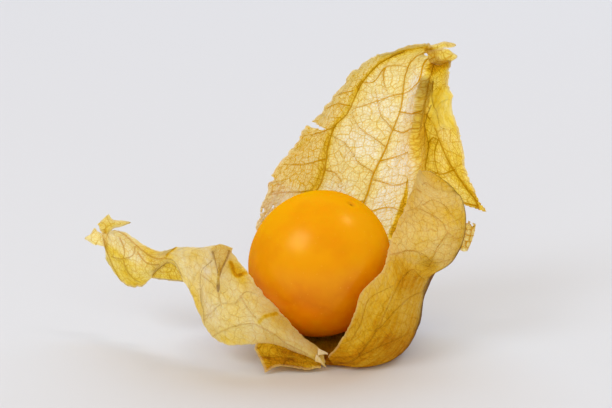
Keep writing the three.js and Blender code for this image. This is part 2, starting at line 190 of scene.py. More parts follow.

# Lines on a lobe, by kind: ribs, side veins, creases folded hard and painted a deeper gold as their shade,
# thin dark lines of painted shade along folds and turned-over edges, and ridges where the paper is folded
# towards the front. Each stop is [column, row] along the control points.
HOOD_LINES = {
    "rib": [
        [[1, 0], [1, 2], [0.98, 3.6], [0.92, 4.45], [0.86, 5.2], [1, 5.9], [0.75, 7], [0.6, 8.2]],
        [[2, 0], [2, 2], [1.95, 3.4], [1.9, 4.1], [2, 4.8], [2, 5.8], [1.97, 6.5], [1.97, 7.9], [2, 9]],
        [[3.2, 0], [3.5, 2], [3.7, 3.2], [3.8, 4.26], [4.02, 4.83], [3.67, 5.5], [3.4, 7], [3.6, 9]],
        [[4.7, 0], [4.8, 1.8], [4.85, 3], [4.86, 3.77], [4.74, 4.2], [4.51, 4.8], [4.37, 5.21],
         [4.19, 5.57], [3.8, 5.9]],
    ],
    "side_vein": [
        [[2.77, 8.3], [2.88, 7], [2.5, 6.6], [2.02, 6.4]],
        [[2, 6.4], [1.7, 6.33], [1.5, 6.2], [1.08, 5.9]],
        [[1.17, 7.3], [1.4, 6.8], [1.62, 6.4]],
        [[0.95, 6.65], [1.2, 6.75], [1.17, 7.3], [1.55, 7.43], [1.97, 7.36]],
        [[1.97, 5.3], [1.65, 5.7], [1.48, 6.15], [1.32, 6.55]],
        [[2, 4.75], [1.64, 5.05], [1.42, 5.25], [1.2, 5.62], [1.08, 5.88]],
        [[1.88, 4.1], [1.53, 4.4], [1.34, 4.7], [1.18, 4.9], [0.97, 5.02]],
        [[0.95, 4.25], [1.18, 4.15], [1.4, 3.75], [1.45, 3.1]],
        [[1.93, 3.3], [1.5, 3.1], [1.2, 2.6], [1.02, 2.5]],
        [[0.7, 6.35], [0.3, 6.15], [0.02, 5.95]],
        [[0.95, 6], [0.4, 5.9], [0.02, 5.6]],
        [[0.9, 5.3], [0.4, 5.1], [0.02, 5]],
        [[0.9, 4.5], [0.45, 4.33], [0.02, 4.3]],
        [[0.92, 3.6], [0.4, 3.5], [0.05, 3.4]],
        [[0.95, 2.7], [0.5, 2.6], [0.05, 2.4]],
        [[2, 5.85], [2.4, 5.8], [2.85, 5.83], [3.3, 6.1]],
        [[1.97, 5.3], [2.4, 5.2], [2.8, 5.35], [3.4, 5.5]],
        [[1.93, 4.4], [2.25, 4.48], [2.85, 4.7]],
        [[1.95, 3.9], [2.25, 3.8], [2.5, 3.73], [2.85, 3.85]],
        [[2, 2.9], [2.5, 3.1], [3, 2.9], [3.6, 3]],
        [[2, 1.9], [2.5, 2.2], [3, 2], [3.4, 1.9]],
        [[3.87, 7.1], [4.2, 6.15], [4.5, 5.6], [4.9, 5.4]],
        [[4.4, 5.1], [4.25, 4.6], [4.35, 4]],
        [[4.75, 4.27], [4.4, 4.1], [4.05, 4.2]],
        [[4.1, 5.75], [4.5, 6.2], [4.9, 6.3]],
        [[4.0, 4.9], [4.2, 5.1], [4.4, 5.05]],
        [[4.85, 3.2], [4.4, 3.3], [3.9, 3.1]],
    ],
    "shade_line": [
        [[3.8, 7.1], [3.95, 6.7], [4.16, 6.22], [4.37, 5.92], [4.46, 5.5], [4.7, 5.39]],
        [[4.07, 6.2], [3.88, 5.84], [3.63, 5.18], [3.43, 4.73]],
    ],
    "ridge": [
        [[3.4, 7.6], [3.28, 7.18], [3.12, 6.26], [3.06, 5.34], [2.97, 4.47], [2.89, 3.75]],
    ],
}
LOBE_LINES = {
    "rib": [
        [[1.2, 0], [1.1, 1.4], [1.2, 3], [1.1, 4.2]],
    ],
    "side_vein": [
        [[0.2, 6.62], [0.9, 6.78], [1.5, 6.58], [1.8, 6.3], [1.98, 6], [2.5, 5.85], [2.9, 5.93]],
        [[1.05, 6.95], [1.62, 7.23], [2.12, 6.98], [2.28, 6.58], [2.85, 6.25]],
        [[1.98, 6], [1.85, 5.6], [1.9, 5.2]],
        [[0.1, 4.7], [0.36, 4.85], [0.9, 5.2], [1.5, 5.22], [2.15, 5.03], [2.9, 5.2]],
        [[1.15, 4.15], [1.42, 4.5], [2, 4.3], [2.65, 3.97]],
        [[0.42, 1.4], [0.45, 2.1], [0.44, 3], [0.9, 3.7]],
        [[1.15, 2.2], [1.6, 3], [2.1, 3.4], [2.9, 3.5]],
        [[1.15, 1.2], [1.7, 1.9], [2.3, 2.2], [2.95, 2.2]],
        [[1, 7.9], [1.5, 8.1], [2.2, 7.8], [2.95, 7.6]],
        [[0.95, 7.5], [0.4, 7.6], [0.05, 7.4]],
        [[3, 4.2], [3.4, 4], [3.9, 4.2]],
        [[3, 3.2], [3.4, 3], [3.9, 3.1]],
        [[3, 2.2], [3.5, 2], [3.95, 2]],
    ],
    "shade_line": [
        [[3.15, 8.6], [3.1, 7.5], [3.12, 6.5], [3.2, 5.8], [3.32, 5.2], [3.6, 4.85], [3.9, 4.5], [3.93, 4],
         [3.9, 3.5], [3.4, 3.1], [3.24, 2.5], [3.27, 2], [3.4, 1.5], [3.8, 1], [3.9, 0.4]],
    ],
}
ARM_LINES = {
    "shade_line": [
        [[0.75, 4.45], [1.3, 4.8], [1.7, 4.87], [2.45, 4.7], [2.7, 4.2], [2.95, 3.9]],
    ],
    "rib": [
        [[0.02, 9.4], [0.15, 8.45], [0.5, 7.85], [0.9, 7.2], [1.5, 6.5], [2.2, 6], [2.85, 5.5]],
        [[0.3, 9.97], [1.5, 9.93], [2.3, 9.75], [2.93, 9.1], [2.97, 8.2], [2.95, 7.4]],
    ],
    "side_vein": [
        [[2.8, 3.95], [2.25, 3.7], [1.75, 3.45], [1.38, 2.95]],
        [[2.95, 3.4], [2.34, 2.95], [2.05, 2.53], [1.74, 1.98]],
        [[1.07, 2.87], [1.2, 2.5], [1.43, 2.02]],
        [[1.54, 3.73], [1.8, 3.43]],
        [[1.74, 1.98], [1.86, 1.44], [2.19, 1.08], [2.17, 0.5]],
        [[1.38, 2.95], [0.8, 2.7], [0.3, 2.2]],
        [[1.75, 4.85], [1.5, 4.2], [1.54, 3.73]],
        [[0.9, 7.9], [1.5, 7.4], [1.9, 6.8]],
        [[0.5, 9], [1.1, 8.8], [1.7, 8.9], [2.2, 9.6]],
        [[0.6, 8], [1.2, 8.2], [1.7, 8.9]],
        [[1.7, 8.9], [2.3, 8.5], [2.7, 7.9]],
    ],
    "crease": [
        [[1.53, 1.9], [0.93, 1.78], [0.26, 1.62]],
        [[1.1, 6.3], [0.5, 6.1], [0.02, 6]],
        [[0.33, 3.5], [0.57, 3.2], [0.1, 2.8]],
    ],
}
SCRAP_LINES = {
    "folded_corner": {"shade_line": [[[0.12, 0.3], [0.15, 2], [0.5, 4]], [[1.85, 0.3], [1.8, 2], [1.5, 4]]]},
    "neck_fold": {"shade_line": [[[1.9, 0.2], [1.93, 2], [1.9, 3.8]]]},
}


def spline_weights(place, count):
    """Weights of count control points at places along a Catmull-Rom curve: each stretch is a cubic through
    its two ends with the slope set by their neighbours, and the ends are carried on straight."""
    place = np.asarray(place, float)
    start = np.clip(np.floor(place).astype(int), 0, count - 2)
    f = place - start
    cubic = np.stack([
        -f**3 / 2 + f**2 - f / 2,
        3 * f**3 / 2 - 5 * f**2 / 2 + 1,
        -3 * f**3 / 2 + 2 * f**2 + f / 2,
        f**3 / 2 - f**2 / 2,
    ], axis=-1)
    weights = np.zeros(place.shape + (count + 2,))
    np.put_along_axis(weights, start[..., None] + np.arange(4), cubic, axis=-1)
    weights[..., 1] += 2 * weights[..., 0]
    weights[..., 2] -= weights[..., 0]
    weights[..., -2] += 2 * weights[..., -1]
    weights[..., -3] -= weights[..., -1]
    return weights[..., 1:-1]


def curve_through(stops, count):
    """Count even samples of the Catmull-Rom curve through the stops."""
    stops = np.asarray(stops, float)
    return spline_weights(np.linspace(0, len(stops) - 1, count), len(stops)) @ stops


def lobe_points(rows, column, row):
    """Points of a lobe at any column and row: a Catmull-Rom curve of Catmull-Rom curves through its rows."""
    rows = np.asarray(rows, float)
    across = spline_weights(column, rows.shape[1])
    along = spline_weights(row, rows.shape[0])
    return np.einsum("...i,...k,ikc->...c", along, across, rows)


def soft_noise(points, cell, seed):
    """Value noise from -1 to 1: random heights on a square lattice, blended smoothly between its corners."""
    heights = np.random.default_rng(seed).uniform(-1, 1, (LATTICE, LATTICE))
    scaled = np.asarray(points, float) / cell
    corner = np.floor(scaled).astype(int)
    f = scaled - corner
    f = f * f * (3 - 2 * f)
    i, j = corner[..., 0] % LATTICE, corner[..., 1] % LATTICE
    i2, j2 = (i + 1) % LATTICE, (j + 1) % LATTICE
    low = heights[i, j] * (1 - f[..., 0]) + heights[i2, j] * f[..., 0]
    high = heights[i, j2] * (1 - f[..., 0]) + heights[i2, j2] * f[..., 0]
    return low * (1 - f[..., 1]) + high * f[..., 1]


def torn_line(along, reach, seed):
    """How far a torn edge stands in or out along its length: soft waves, bites and fine teeth added up."""
    line = np.stack([along, np.zeros_like(along)], axis=-1)
    waves = soft_noise(line, 2.6, seed)
    bites = soft_noise(line, 0.9, seed + 1)
    teeth = soft_noise(line, 0.32, seed + 2)
    return reach * (0.5 * waves + 0.35 * bites + 0.22 * teeth)


def net_cells(flat, size, seed):
    """A net of cells about the jittered points of a square lattice on the paper: how far each place is from
    its cell's border, in millimetres, and the number from 0 to 1 that was drawn for its cell."""
    margin = 0.1
    drawn = np.random.default_rng(seed).uniform(margin, 1 - margin, (LATTICE, LATTICE, 3))
    scaled = flat / size
    corner = np.floor(scaled).astype(int)
    gaps, draws = [], []
    for step in np.ndindex(3, 3):
        cell = corner + step - 1
        spot = drawn[cell[..., 0] % LATTICE, cell[..., 1] % LATTICE]
        gaps.append(np.linalg.norm(cell + spot[..., :2] - scaled, axis=-1))
        draws.append(spot[..., 2])
    order = np.argsort(np.stack(gaps), axis=0)
    nearest = np.take_along_axis(np.stack(gaps), order, axis=0)
    draw = np.take_along_axis(np.stack(draws), order, axis=0)[0]
    return (nearest[1] - nearest[0]) / 2 * size, (draw - margin) / (1 - 2 * margin)


def without_pinches(kept):
    """The kept cells of a grid, with a cell added wherever two of them would touch by a corner alone."""
    a, b, c, d = kept[:-1, :-1], kept[:-1, 1:], kept[1:, :-1], kept[1:, 1:]
    for _ in range(4):
        b |= a & d & ~c
        a |= b & c & ~d
    return kept


def normals_of(grid):
    """Unit normals of a grid of points: the cross product of its slopes across and along."""
    normal = np.cross(np.gradient(grid, axis=1), np.gradient(grid, axis=0))
    return normal / np.maximum(np.linalg.norm(normal, axis=-1, keepdims=True), 1e-9)


def distance_to_lines(points, lines, half_width, taper):
    """Distance from each point to the nearest line's edge, in millimetres: to its closest stretch, less its
    half width there, which narrows towards its end by the taper's share, and never beyond their reach."""
    flat = points.reshape(-1, 3)
    nearest = np.full(len(flat), LINE_REACH)
    for line in lines:
        near = np.all((flat > line.min(0) - LINE_REACH) & (flat < line.max(0) + LINE_REACH), axis=1)
        start, step = line[:-1], np.diff(line, axis=0)
        offset = flat[near][:, None, :] - start[None]
        share = np.sum(offset * step, axis=-1) / np.maximum(np.sum(step**2, axis=-1), 1e-9)
        share = np.clip(share, 0, 1)
        gap = np.linalg.norm(offset - share[..., None] * step, axis=-1)
        passed = (np.arange(len(step)) + share) / len(step)
        edge = gap - half_width * (1 - taper * passed)
        nearest[near] = np.minimum(nearest[near], edge.min(axis=1))
    return nearest.reshape(points.shape[:-1])


def new_piece(name, points, faces, node, material, values):
    """A finished mesh piece at the origin, in metres, with its attributes, riding on the root body."""
    mesh = bpy.data.meshes.new(name)
    mesh.from_pydata(np.asarray(points, float) * MM, [], faces)
    mesh.validate()
    for key, value in values.items():
        attribute_values = mesh.attributes.new(key, "FLOAT", "POINT").data
        attribute_values.foreach_set("value", np.asarray(value, np.float32))
    mesh.polygons.foreach_set("use_smooth", np.ones(len(mesh.polygons), bool))
    mesh.set_sharp_from_angle(angle=math.radians(70))
    mesh.materials.append(material)
    piece = bpy.data.objects.new(name, mesh)
    bpy.context.scene.collection.objects.link(piece)
    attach(piece, "root")
    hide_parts(node)


def shell(front, back, kept):
    """The closed solid between two grids of points, over the kept cells: both skins, and a wall along every
    open edge. It gives the points, the faces, and the place in the grid that each point comes from."""
    rows, columns = front.shape[:2]
    count = rows * columns
    corner = (np.arange(rows - 1)[:, None] * columns + np.arange(columns - 1)[None]).ravel()
    quads = np.stack([corner, corner + 1, corner + columns + 1, corner + columns], axis=-1)[kept.ravel()]
    start, end = quads.ravel(), np.roll(quads, -1, axis=1).ravel()
    open_edge = ~np.isin(start * count + end, end * count + start)
    a, b = start[open_edge], end[open_edge]
    walls = np.stack([b, a, a + count, b + count], axis=-1)
    points = np.concatenate([front.reshape(-1, 3), back.reshape(-1, 3)])
    faces = np.concatenate([quads, quads[:, ::-1] + count, walls])
    used = np.unique(faces)
    renumber = np.zeros(2 * count, int)
    renumber[used] = np.arange(len(used))
    return points[used], renumber[faces].tolist(), used % count


def closed_body(rings, ends, forward=True):
    """The points and faces of a closed body: quads between its rings of points, and a fan of triangles from
    its first and last ring to a middle point. forward says which way round the rings run."""
    count, sides = rings.shape[:2]
    here = np.arange(sides)
    after = (here + 1) % sides
    ring = np.arange(count - 1)[:, None] * sides
    quads = np.stack([ring + here, ring + after, ring + sides + after, ring + sides + here], axis=-1)
    faces = quads.reshape(-1, 4)[:, ::1 if forward else -1].tolist()
    for start, middle, flip in ((0, 0, forward), ((count - 1) * sides, 1, not forward)):
        pair = (after, here) if flip else (here, after)
        middle = np.full(sides, count * sides + middle)
        faces += np.stack([pair[0] + start, pair[1] + start, middle], axis=-1).tolist()
    return np.concatenate([rings.reshape(-1, 3), ends]), faces


def circles(centre, radius, turn, side, up):
    """Points round a centre at each turn and radius, in the plane of the side and up directions."""
    return centre + (radius * np.cos(turn))[..., None] * side + (radius * np.sin(turn))[..., None] * up


def flat_places(grid):
    """Where each point of a lobe would lie if the lobe were laid flat: its distances across and along the
    paper, measured from the middle column."""
    across, along = (np.linalg.norm(np.diff(grid, axis=axis), axis=-1) for axis in (1, 0))
    across = np.insert(np.cumsum(across, axis=1), 0, 0, axis=1)
    along = np.insert(np.cumsum(along, axis=0), 0, 0, axis=0)
    return np.stack([across - across[:, [grid.shape[1] // 2]], along], axis=-1)


def crumple(flat, strength, seed):
    """Height of the crumpled paper: soft waves, and large and small creases where a noise crosses zero."""
    waves = soft_noise(flat, 4.5, seed)
    creases = 1 - 2 * np.abs(soft_noise(flat + 31.7, 3.1, seed + 1))
    small = 1 - 2 * np.abs(soft_noise(flat + 5.3, 1.3, seed + 2))
    return strength * (0.5 * waves + 0.3 * creases + 0.12 * small)


def make_lobe(name, rows, counts, material, lines=None, torn=(0, 0, 0, 0), strength=0.3, seed=1, gold=0.3,
              net=1.0, shade=0.0, streak=0.4, rim=0.5, fine=1.0, widths=None, cut=None, lace=None):
    """A lobe of the husk: the smooth surface through its rows, its torn edges shifted in and out along the
    paper, crumpled along its normals, grooved at its creases, raised at its ridges and thickened at its
    veins. counts are its points across and along. torn gives the reach of the tears, in millimetres, on the
    first and last column and row. gold, net, shade, streak and rim are numbers or functions of the column
    and row: the paper's tone, how strongly its net shows, its painted olive shade, its lengthwise streaks
    and how much dark shade is painted in where it is seen edge on. fine narrows its lines, and widths sets
    some of them outright. cut and lace are functions: where the paper is missing, and the share of its net's
    cells that have come out."""
    columns, last = len(rows[0]) - 1, len(rows) - 1
    u, v = np.meshgrid(np.linspace(0, columns, counts[0]), np.linspace(0, last, counts[1]))
    flat = flat_places(lobe_points(rows, u, v))
    width = np.maximum(flat[:, -1, 0] - flat[:, 0, 0], 1.0)[:, None]
    length = np.maximum(flat[-1, :, 1], 1.0)[None]
    edges = flat[:, :1, 1], flat[:, -1:, 1], flat[:1, :, 0], flat[-1:, :, 0]
    left, right, bottom, top = (torn_line(edge, reach, seed + 10 * place + 10)
                                for place, (edge, reach) in enumerate(zip(edges, torn)))
    margin_u, margin_v = 0.5, 0.8
    shift_u = left * np.clip(1 - u / margin_u, 0, 1) - right * np.clip(1 - (columns - u) / margin_u, 0, 1)
    shift_v = bottom * np.clip(1 - v / margin_v, 0, 1) - top * np.clip(1 - (last - v) / margin_v, 0, 1)
    u = u + shift_u / width * columns
    v = v + shift_v / length * last
    grid = lobe_points(rows, u, v)
    gaps = {}
    for kind, half_width in LINE_WIDTHS.items():
        routes = [curve_through(route, 10 * len(route)).T for route in (lines or {}).get(kind, ())]
        routes = [lobe_points(rows, *route) for route in routes]
        half_width = (widths or {}).get(kind, half_width * fine)
        gaps[kind] = distance_to_lines(grid, routes, half_width, LINE_TAPERS[kind])
    looks = {"gold": gold, "net": net, "shade": shade, "streak": streak, "rim": rim}
    looks = {key: value(u, v) if callable(value) else np.full(u.shape, float(value))
             for key, value in looks.items()}
    normal = normals_of(grid)
    flat = flat_places(grid)
    vein = np.maximum(np.minimum(gaps["rib"], gaps["side_vein"]), 0)
    pillow = PILLOW_HEIGHT * (1 - np.exp(-vein / PILLOW_REACH))
    groove = GROOVE_DEPTH * looks["net"] * np.exp(-(np.maximum(gaps["crease"], 0) / GROOVE_REACH) ** 2)
    fold = FOLD_HEIGHT * np.exp(-np.maximum(gaps["ridge"], 0) / FOLD_REACH)
    height = crumple(flat, strength, seed) + pillow - groove + fold
    grid = grid + normal * height[..., None]
    kept = np.ones((counts[1] - 1, counts[0] - 1), bool)
    if cut is not None:
        kept &= ~cut(u, v)[:-1, :-1]
    if lace is not None:
        border, draw = net_cells(flat + 2 * PATTERN_STEP, LACE_CELL, seed + 50)
        share = lace(u, v)
        kept &= ~((draw < share) & (border > LACE_VEIN))[:-1, :-1]
        outlined = np.minimum(gaps["side_vein"], border - LACE_EDGE)
        gaps["side_vein"] = np.where(share > 0.05, outlined, gaps["side_vein"])
    normal = normals_of(grid)
    swell = sum(high * np.exp(-(np.maximum(gaps[kind], -inside) + inside) ** 2 / spread)
                for kind, (high, inside, spread) in VEIN_SWELLS.items())
    half = (PAPER_HALF + swell)[..., None]
    points, faces, origin = shell(grid + normal * half, grid - normal * half, without_pinches(kept))
    points[:, 2] = np.maximum(points[:, 2], 0)
    from_edges = [flat[..., 0] - flat[:, :1, 0], flat[:, -1:, 0] - flat[..., 0],
                  flat[..., 1], flat[-1:, :, 1] - flat[..., 1]]
    edge = np.minimum.reduce([gap + WHOLE_EDGE * (reach == 0) for gap, reach in zip(from_edges, torn)])
    looks.update(across=flat[..., 0] + PATTERN_STEP * seed, along=flat[..., 1], edge=edge, **gaps)
    values = {key: value.ravel()[origin] for key, value in looks.items()}
    new_piece(name, points, faces, "husk", material, values)


def make_base(material):
    """The husk's base: a five-sided flat foot, straight between its corners, with sides sloping straight up
    to the rim, and on top the receptacle's swelling and shallow wrinkles that run out from the centre."""
    foot_rings, slope_rings, sides = 16, 24, 200
    rim_points = np.array(BASE_RIM, float)
    looped = np.concatenate([rim_points[-2:], rim_points, rim_points[:3]])
    stops = 2 + np.arange(sides) * len(rim_points) / sides
    rim = spline_weights(stops, len(looped)) @ looped
    along = np.arange(sides) * FOOT_SIDES / sides
    turn = FOOT_TURN + 2 * math.pi * np.arange(FOOT_SIDES + 1) / FOOT_SIDES
    centre = np.array(BASE_CENTRE, float)
    corners = np.stack([np.cos(turn), np.sin(turn)], axis=-1) * FOOT_RADIUS + centre
    first = along.astype(int)
    foot = corners[first] + (along - first)[:, None] * (corners[first + 1] - corners[first])
    inner = np.linspace(0.02, 1, foot_rings)[:, None, None]
    outer = np.linspace(0, 1, slope_rings + 1)[1:, None, None]
    place = np.concatenate([centre + (foot - centre) * inner, foot + (rim[:, :2] - foot) * outer])
    level = np.concatenate([np.zeros((foot_rings, sides)), outer[..., 0] * rim[:, 2]])
    share = np.linspace(0, 1, foot_rings + slope_rings)[:, None]
    angle = np.arctan2(place[..., 1] - centre[1], place[..., 0] - centre[0])
    wrinkle_places = np.stack(np.broadcast_arrays(angle * 6, share * 3), axis=-1)
    wrinkle = 0.1 * share * soft_noise(wrinkle_places, 1.0, 5)
    above = level + BASE_THICKNESS + RECEPTACLE_HEIGHT * (1 - share**2) ** 2 + wrinkle
    lower = np.concatenate([place, level[..., None]], axis=-1)
    upper = np.concatenate([place, above[..., None]], axis=-1)
    ends = np.concatenate([upper[:1].mean(1), lower[:1].mean(1)])
    points, faces = closed_body(np.concatenate([upper, lower[::-1]]), ends, forward=False)
    # Deep red-gold tone: painted shade under the berry, reddened as painted light bounced from it.
    plain = {"gold": 0.8, "net": 0.4, "shade": 0.0, "streak": 1.0, "rim": 0.5}
    plain.update(dict.fromkeys(["edge", *LINE_WIDTHS], LINE_REACH))
    values = {key: np.full(len(points), value) for key, value in plain.items()}
    values.update(across=points[:, 0] + 15 * PATTERN_STEP, along=points[:, 1])
    new_piece("husk_base", points, faces, "husk", material, values)


def make_berry(material):
    """The berry: a half circle stretched to its length and turned about its axis, with broad shallow
    unevenness round it and a small dimple at the scar of the flower."""
    rings, sides, pole = 150, 220, 0.004
    dimple_depth, dimple_reach = 0.25, 0.07
    angle = np.linspace(pole, math.pi - pole, rings)[:, None]
    turn = np.linspace(0, 2 * math.pi, sides, endpoint=False)[None]
    height = -np.cos(angle) * BERRY_LENGTH / 2
    uneven = 0.05 * np.sin(3 * turn + 1) * np.sin(angle) ** 2 + 0.03 * np.sin(5 * turn) * np.sin(angle) ** 3
    radius = np.sin(angle) * BERRY_WIDTH / 2 * (1 + uneven / 9)
    height = height - dimple_depth * np.exp(-(((math.pi - angle) / dimple_reach) ** 2))
    side_x = np.cross(BERRY_AXIS, [0, 1, 0])
    side_x /= np.linalg.norm(side_x)
    side_y = np.cross(BERRY_AXIS, side_x)
    skin = circles(BERRY_CENTRE, radius, turn, side_x, side_y) + height[..., None] * BERRY_AXIS
    points, faces = closed_body(skin, np.stack([skin[0].mean(0), skin[-1].mean(0)]))
    from_scar = np.concatenate([np.repeat(math.pi - angle[:, 0], sides), [math.pi, 0.0]]) * BERRY_WIDTH / 2
    new_piece("berry_skin", points, faces, "berry", material, {"from_scar": from_scar})


def make_stalk(material):
    """The dry stalk: a tube along its path, with shallow lengthwise furrows and soft knots, that narrows
    towards its broken end and is hollowed there."""
    rings, sides, knot_spacing, hollow = 90, 40, 9, 0.3
    centre = curve_through(STALK_PATH, rings)
    ahead = np.gradient(centre, axis=0)
    ahead /= np.linalg.norm(ahead, axis=1, keepdims=True)
    side = np.cross(ahead, [0, 0, 1])
    side /= np.linalg.norm(side, axis=1, keepdims=True)
    up = np.cross(ahead, side)
    turn = np.linspace(0, 2 * math.pi, sides, endpoint=False)[None]
    share = np.linspace(0, 1, rings)[:, None]
    furrows = 0.05 * np.sin(7 * turn + 1.5 * np.sin(5 * share)) + 0.03 * np.sin(13 * turn + 4 * share)
    knots = 0.03 * soft_noise(np.stack(np.broadcast_arrays(share * knot_spacing, turn), axis=-1), 1.0, 77)
    radius = STALK_RADIUS * (0.93 - 0.16 * share**2 + furrows * 0.7 + knots)
    tube = circles(centre[:, None], radius, turn, side[:, None], up[:, None])
    ends = np.stack([tube[0].mean(0), tube[-1].mean(0) - hollow * ahead[-1]])
    points, faces = closed_body(tube, ends)
    values = {"across": np.concatenate([np.tile(turn[0], rings), [0, 0]]),
              "along": np.concatenate([np.repeat(share[:, 0], sides), [0, 1]]) * knot_spacing}
    new_piece("dry_stalk", points, faces, "stalk", material, values)


def rise(low, high, values):
    """0 below low, 1 above high, and a smooth step between."""
    share = np.clip((values - low) / (high - low), 0, 1)
    return share * share * (3 - 2 * share)


# Materials. Colours are given as 0 to 255 on screen, and ramps as the colours at places along a tone.

PAPER_RAMP = ((0.0, (255, 253, 244)), (0.2, (255, 244, 184)), (0.45, (253, 226, 90)),
              (0.58, (244, 202, 36)), (0.72, (230, 168, 10)), (1.0, (150, 60, 2)))
NET_RAMP = ((0.0, (244, 198, 0)), (0.25, (236, 182, 0)), (0.5, (212, 154, 0)), (0.75, (156, 100, 0)),
            (1.0, (84, 42, 0)))
VEIN_RAMP = ((0.0, (228, 164, 0)), (0.25, (216, 150, 0)), (0.5, (194, 134, 0)), (0.75, (146, 92, 0)),
             (1.0, (80, 40, 0)))
# The berry's colour from bottom to top as painted light: bright at the bottom, darker round the middle,
# yellow at the top.
BERRY_RAMP = ((0.0, (252, 140, 0)), (0.5, (216, 120, 0)), (1.0, (238, 166, 0)))
STALK_RAMP = ((0.3, (84, 58, 26)), (0.55, (134, 100, 52)), (0.75, (176, 142, 88)))
LOOK_OUTPUTS = {"Colour": "NodeSocketColor", "Roughness": "NodeSocketFloat", "Height": "NodeSocketFloat"}
LIGHT_THROUGH = 0.63  # share of the paper's look that is light from behind it
BERRY_GLOSS = 0.042  # share of the berry's look that is gloss


def linear(red, green, blue):
    """A colour on screen as the linear values that shaders take."""
    screen = np.array([red, green, blue]) / 255
    light = np.where(screen < 0.04045, screen / 12.92, ((screen + 0.055) / 1.055) ** 2.4)
    return (*light.tolist(), 1.0)


def add_node(tree, kind, inputs=None, **settings):
    """A shader node with its settings, and its inputs set to values or linked to other nodes' outputs."""
    node = tree.nodes.new(kind)
    for key, value in settings.items():
        setattr(node, key, value)
    for key, value in (inputs or {}).items():
        if isinstance(value, bpy.types.NodeSocket):
            tree.links.new(value, node.inputs[key])
        else:
            node.inputs[key].default_value = value
    return node


def maths(tree, operation, *terms):
    """One output for an arithmetic operation on numbers or outputs."""
    return add_node(tree, "ShaderNodeMath", dict(enumerate(terms)), operation=operation).outputs[0]


def vector_maths(tree, operation, inputs):
    return add_node(tree, "ShaderNodeVectorMath", inputs, operation=operation).outputs[0]


def total(tree, *terms):
    """The sum of its terms, each of them an output, or an output and its weight."""
    parts = [maths(tree, "MULTIPLY", *term) if isinstance(term, tuple) else term for term in terms]
    result = parts[0]
    for part in parts[1:]:
        result = maths(tree, "ADD", result, part)
    return result


def steps(tree, value, low, high, first=0.0, last=1.0):
    """A smooth step of a value from first, at low, to last, at high."""
    inputs = {"Value": value, "From Min": low, "From Max": high, "To Min": first, "To Max": last}
    node = add_node(tree, "ShaderNodeMapRange", inputs, interpolation_type="SMOOTHSTEP")
    return node.outputs["Result"]


def mixed(tree, share, first, second, blend="MIX"):
    """The colour between two colours, or one blended on the other."""
    inputs = {0: share, 6: first, 7: second}
    return add_node(tree, "ShaderNodeMix", inputs, data_type="RGBA", blend_type=blend).outputs[2]


def attribute(tree, name):
    return add_node(tree, "ShaderNodeAttribute", attribute_name=name).outputs["Fac"]


def noise(tree, place, scale, detail=3.0, roughness=0.5, output="Fac"):
    inputs = {"Vector": place, "Scale": scale, "Detail": detail, "Roughness": roughness}
    return add_node(tree, "ShaderNodeTexNoise", inputs, noise_dimensions="3D").outputs[output]


def ramp(tree, value, stops):
    """The colour at a value along a ramp's stops."""
    node = add_node(tree, "ShaderNodeValToRGB", {"Fac": value})
    elements = node.color_ramp.elements
    while len(elements) < len(stops):
        elements.new(0.5)
    for element, (place, colour) in zip(elements, stops):
        element.position = place
        element.color = linear(*colour)
    return node.outputs["Color"]


def new_look(name):
    """An empty shader group that is to give a colour, a roughness and a height."""
    tree = bpy.data.node_groups.new(name, "ShaderNodeTree")
    for key, kind in LOOK_OUTPUTS.items():
        tree.interface.new_socket(key, in_out="OUTPUT", socket_type=kind)
    return tree


def finished_look(tree, *results):
    """The group, once its colour, roughness and height lead out of it."""
    end = tree.nodes.new("NodeGroupOutput")
    for key, result in zip(LOOK_OUTPUTS, results):
        tree.links.new(result, end.inputs[key])
    return tree


